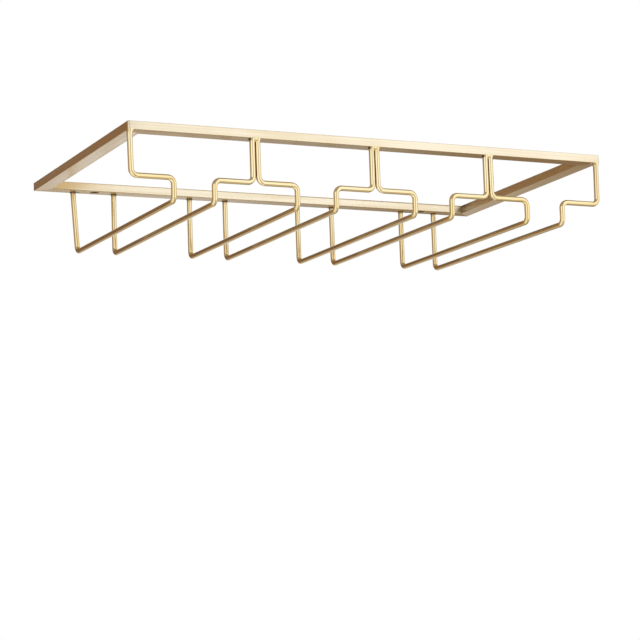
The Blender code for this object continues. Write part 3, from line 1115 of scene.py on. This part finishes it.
def make_bridge(number, x):
    """Filling of the groove between two posts that meet at x."""
    depth = np.linspace(-BRIDGE_CLIMB - BRIDGE_OVERRUN, BRIDGE_DROP, BRIDGE_ROWS)
    line = join(x, -POST_Y, -TUBE_HEIGHT - depth)
    half_width = WIRE_RADIUS * dome(depth, BRIDGE_CLIMB, BRIDGE_TOP_SHARE)
    sink = rise(depth, BRIDGE_LEVEL, BRIDGE_DROP - BRIDGE_LEVEL)
    left_over = 1 - BRIDGE_SINK * sink
    face = WIRE_RADIUS + POST_INSET + BRIDGE_PROUD * dome(depth, BRIDGE_CLIMB)
    front = face * left_over - BRIDGE_BURIED * rise(-depth, BRIDGE_CLIMB, SINK_RUN)
    halves = (half_width, half_width, WIRE_RADIUS * left_over, front)
    reach = ring_reach(halves, 2 + BRIDGE_BLUNTNESS * (1 - sink))
    spokes = ring_spokes(line, np.array([(0.0, 0.0, -1.0)]))
    marks = {"weld_tint": np.full_like(reach, BRIDGE_TINT)}
    return ring_piece(f"pair_weld_{number}", line, spokes, reach, depth, marks)


bridges = [make_bridge(number, front_x[number]) for number in range(1, SLOT_COUNT)]

# %% [markdown]
# ## Finishes
#
# Tube gold is the paler and duller of the two, with brushed lines that show in the wide front
# face. Wire gold is deeper and much shinier, with painted shade in places and soot at the rear
# posts. Painted shade also makes the low rails a deeper gold than what is near the frame.

# %% Gold materials
PALE_TUBE = (0.80, 0.71, 0.55, 1.0)
DEEP_TUBE = (0.74, 0.62, 0.42, 1.0)
PALE_WIRE = (0.83, 0.715, 0.47, 1.0)
DEEP_WIRE = (0.80, 0.62, 0.31, 1.0)
# Heated gold: heat tint at the welds, and also the colour of painted shade on tubes and posts
HEAT_AND_SHADE_GOLD = (0.50, 0.315, 0.10, 1.0)
# Colour under each mark, named like the attribute on the mesh. Each is painted shade, and the
# darkest also stands for the soot at the rear posts
SOOT_AND_SHADE_COLOUR = (0.14, 0.09, 0.04, 1.0)
WIRE_MARKS = {"rail_shade": (0.575, 0.53, 0.415, 1.0), "groove_shade": (0.40, 0.28, 0.12, 1.0),
              "scorch": SOOT_AND_SHADE_COLOUR}
# Heights between which the gold changes, and how much deeper it is at the lower one; this
# deepening of the low wires is painted shade
LOW_Z, HIGH_Z, LOW_SHADE_DEEPENING = -0.052, -0.030, 0.4
# The highlight spreads across the lines, so it is turned a quarter from their direction
GRAIN_TURN = 0.25


def gold_material(name, pale, deep, marks, roughness, grain, line_rate, line_depth, heat_and_shade_share):
    """Metal shader with brushed lines, plating tone, and the mesh's own marks of heat, soot and
    painted shade.
    """
    material = bpy.data.materials.new(name)
    material.use_nodes = True
    tree = material.node_tree
    along = put(tree, "Tangent", {"direction_type": "UV_MAP", "uv_map": "length_and_girth"})
    place = put(tree, "TexCoord")
    lines = put(tree, "Group", {"node_tree": lines_group}, Place=place.outputs["UV"],
                Lines_per_Metre=line_rate)
    heat_and_shade = put(tree, "Attribute", {"attribute_name": "weld_tint"}).outputs["Fac"]
    height = put(tree, "SeparateXYZ", Vector=place.outputs["Object"]).outputs["Z"]
    # The heat input carries heat tint and painted shade from the mesh; the low wires' deepening is
    # painted shade
    tone = put(tree, "Group", {"node_tree": tone_group}, Place=place.outputs["Object"],
               Streak=lines.outputs["Streak"], Heat=sums(tree, "MULTIPLY", heat_and_shade, heat_and_shade_share),
               Deepen=ease(tree, height, LOW_Z, HIGH_Z, LOW_SHADE_DEEPENING, 0.0),
               Pale_Gold=pale, Deep_Gold=deep, Heated_Gold=HEAT_AND_SHADE_GOLD)
    colour = tone.outputs["Colour"]
    for title, mark_colour in marks.items():
        mark = put(tree, "Attribute", {"attribute_name": title}).outputs["Fac"]
        colour = blend_colour(tree, mark, colour, mark_colour)
    rough = sums(tree, "ADD", tone.outputs["Dullness"], roughness)
    bump = put(tree, "Bump", Strength=1.0, Distance=line_depth, Height=lines.outputs["Height"])
    fill(tree, tree.nodes["Principled BSDF"], Base_Color=colour, Metallic=1.0, Roughness=rough,
         Normal=bump.outputs["Normal"], Anisotropic=grain, Anisotropic_Rotation=GRAIN_TURN,
         Tangent=along.outputs["Tangent"])
    return material


tube_gold = gold_material("tube_gold", PALE_TUBE, DEEP_TUBE, {"scorch": SOOT_AND_SHADE_COLOUR}, roughness=0.28,
                          grain=0.80, line_rate=2600.0, line_depth=0.000008, heat_and_shade_share=0.90)
wire_gold = gold_material("wire_gold", PALE_WIRE, DEEP_WIRE, WIRE_MARKS, roughness=0.07,
                          grain=0.30, line_rate=3500.0, line_depth=0.000003, heat_and_shade_share=0.35)
print("materials:", tube_gold.name, wire_gold.name)

# %% [markdown]
# Each tube and wire takes the place of the CAD piece that it redraws. All ride on the one
# body of the rack, because everything in it is welded together.

# %% Dress the rack
for node_name, piece in tubes.items():
    piece.data.materials.append(tube_gold)
    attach(piece, "root")
    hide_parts(node_name)
for node_name, piece in wires.items():
    piece.data.materials.append(wire_gold)
    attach(piece, "root")
    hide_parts(node_name)
for piece in bridges:
    piece.data.materials.append(wire_gold)
    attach(piece, "root")
print("pieces:", len(tubes) + len(wires) + len(bridges))
